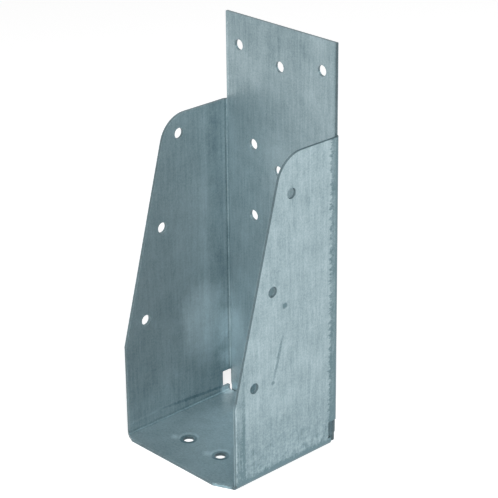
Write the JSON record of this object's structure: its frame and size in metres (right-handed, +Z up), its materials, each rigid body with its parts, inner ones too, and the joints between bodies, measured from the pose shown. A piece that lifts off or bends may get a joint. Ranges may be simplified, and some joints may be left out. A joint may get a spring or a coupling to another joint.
{
  "type": "joist hanger",
  "caption": "Folded sheet steel hanger that nails to a wall or beam and carries the end of a timber joist on its seat, between two tapered wings.",
  "frame": {"origin": "on the rear face that bears on the wall, midway across the hanger, level with the underside of the seat", "axes": "+X across the joist, to the right seen from the joist's side; +Y towards the wall; +Z up"},
  "size_m": [0.074, 0.0695, 0.196],
  "materials": {
    "hanger": "hot-dip galvanised sheet, dull, with fine rolling streaks"
  },
  "bodies": {
    "root": {"hanger": "hanger"}
  },
  "joints": []
}
